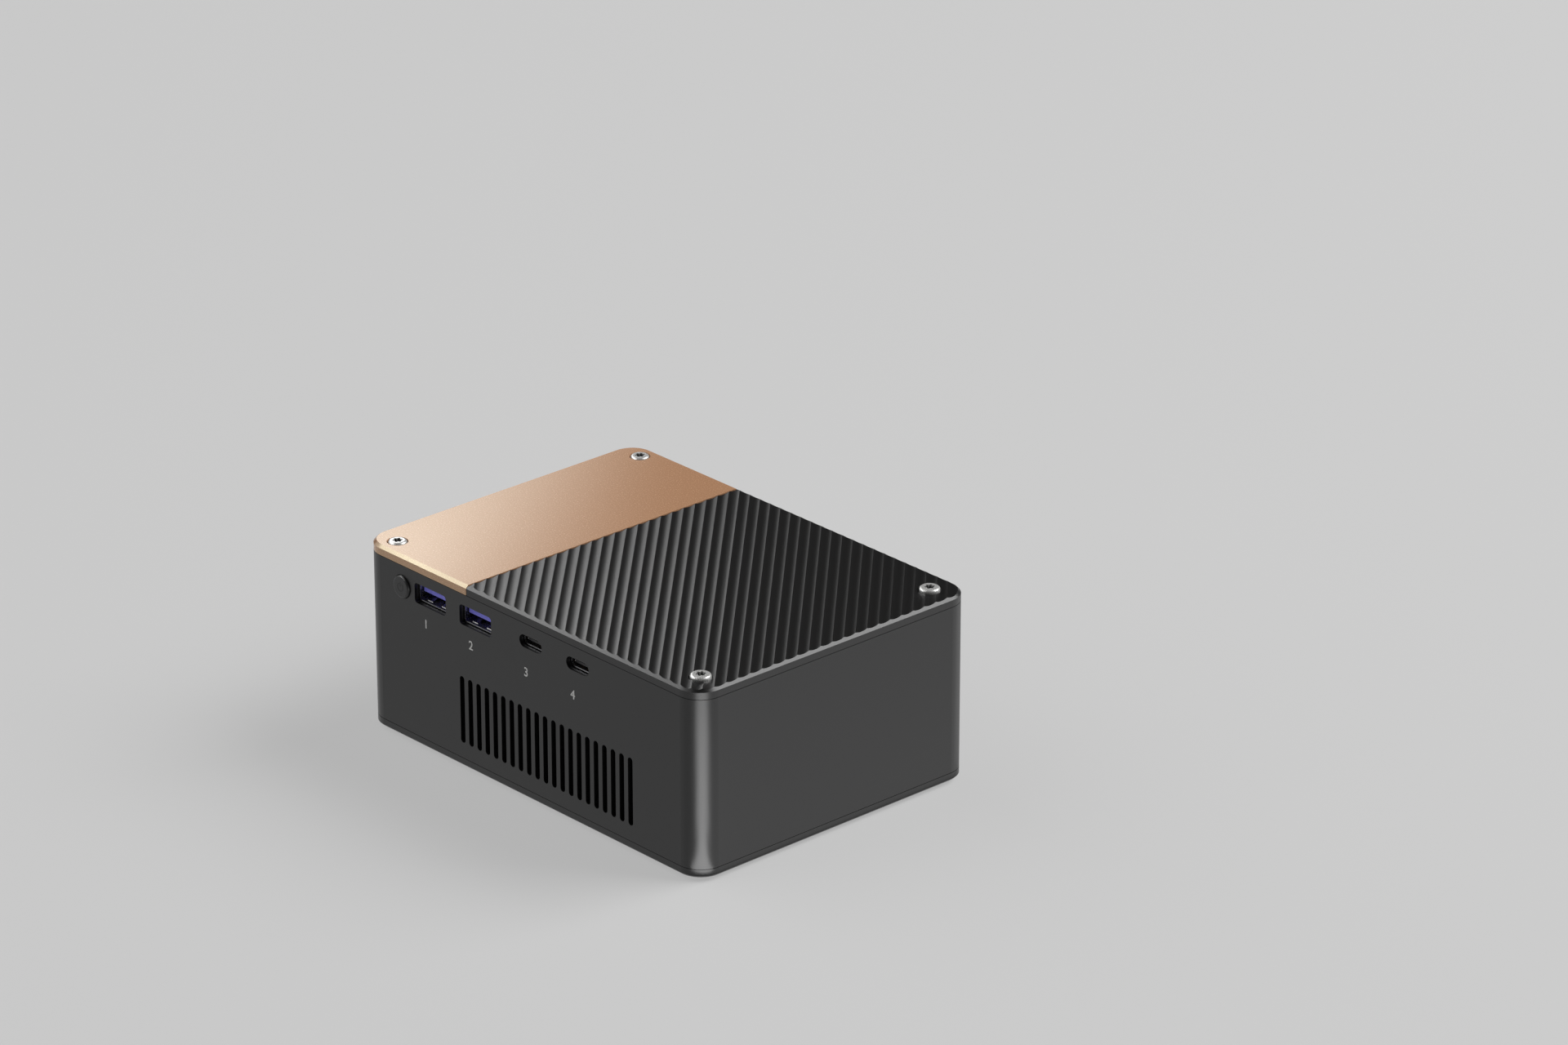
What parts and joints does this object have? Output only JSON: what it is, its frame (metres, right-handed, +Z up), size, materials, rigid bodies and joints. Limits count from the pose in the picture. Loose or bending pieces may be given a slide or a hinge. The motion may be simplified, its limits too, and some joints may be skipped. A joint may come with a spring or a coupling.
{
  "type": "external graphics card enclosure",
  "caption": "Flat desktop graphics dock: black aluminium sleeve with ports and slotted vents, fluted top plate with a rose gold accent plate, blower and fin stack inside.",
  "frame": {"origin": "on the table, under the middle of the box", "axes": "+Z up, -Y out of the front wall with the button, -X towards the accent plate and the wide vents"},
  "size_m": [0.145, 0.1048, 0.0597],
  "materials": {
    "black_aluminium": "black anodised, fine bead blast",
    "rose_gold_aluminium": "rose gold anodised, fine bead blast",
    "screw_steel": "bright plated",
    "black_screw_steel": "black oxide",
    "foot_rubber": "matt",
    "button_plastic": "satin",
    "port_steel": "plated",
    "blue_nylon": "moulded",
    "black_nylon": "moulded",
    "pin_steel": "polished",
    "board_laminate": "black solder mask",
    "chip_epoxy": "moulded epoxy",
    "pad_silicone": "soft",
    "coil_ferrite": "pressed ferrite",
    "can_aluminium": "drawn can",
    "copper": "bare copper",
    "fin_aluminium": "bare sheet",
    "fan_plastic": "moulded",
    "fan_sheet": "stamped sheet",
    "magnet_ferrite": "sintered",
    "contact_gold": "gold flash over nickel",
    "printed_ink": "screen print",
    "mark_ink": "pad print"
  },
  "bodies": {
    "housing": {"body_frame": "black_aluminium", "top_cover": "black_aluminium", "bottom_cover": "black_aluminium", "accent_plate": "rose_gold_aluminium", "accent_screws": "screw_steel", "cover_screws": "screw_steel", "bottom_screws": "black_screw_steel", "board_screws": "black_screw_steel", "cooler_screws": "black_screw_steel", "fan_screws": "black_screw_steel", "foot_front_left": "foot_rubber", "foot_rear_left": "foot_rubber", "foot_front_right": "foot_rubber", "foot_rear_right": "foot_rubber", "usb_front_1_shell": "port_steel", "usb_front_2_shell": "port_steel", "small_port_1_shell": "port_steel", "small_port_2_shell": "port_steel", "usb_rear_shell": "port_steel", "link_port_shell": "port_steel", "video_port_1_shell": "port_steel", "video_port_2_shell": "port_steel", "usb_front_1_tongue": "blue_nylon", "usb_front_2_tongue": "blue_nylon", "usb_rear_tongue": "blue_nylon", "small_port_1_tongue": "black_nylon", "small_port_2_tongue": "black_nylon", "link_port_tongue": "black_nylon", "video_port_1_tongue": "black_nylon", "video_port_2_tongue": "black_nylon", "power_jack": "black_nylon", "power_switch": "black_nylon", "power_jack_pin": "pin_steel", "dock_board": "board_laminate", "graphics_chip": "chip_epoxy", "memory_chips": "chip_epoxy", "thermal_pads": "pad_silicone", "power_coils": "coil_ferrite", "capacitors": "can_aluminium", "cold_plate": "copper", "heat_pipe_front": "copper", "heat_pipe_rear": "copper", "fan_stator": "copper", "fin_stack": "fin_aluminium", "fan_tray": "fan_plastic", "fan_cover": "fan_sheet"},
    "button": {"power_button": "button_plastic"},
    "wheel": {"fan_rotor": "fan_plastic", "fan_magnet": "magnet_ferrite", "fan_shaft": "pin_steel"}
  },
  "joints": [
    {"name": "button_press", "type": "slide", "parent": "housing", "child": "button", "axis": [0, 1, 0], "range_m": [0, 0.0004], "stiffness_N_per_m": 900, "springref_m": -0.0004},
    {"name": "wheel_spin", "type": "hinge", "parent": "housing", "child": "wheel", "pos_m": [0.01025, 0, 0.0175], "axis": [0, 0, 1], "continuous": true}
  ]
}
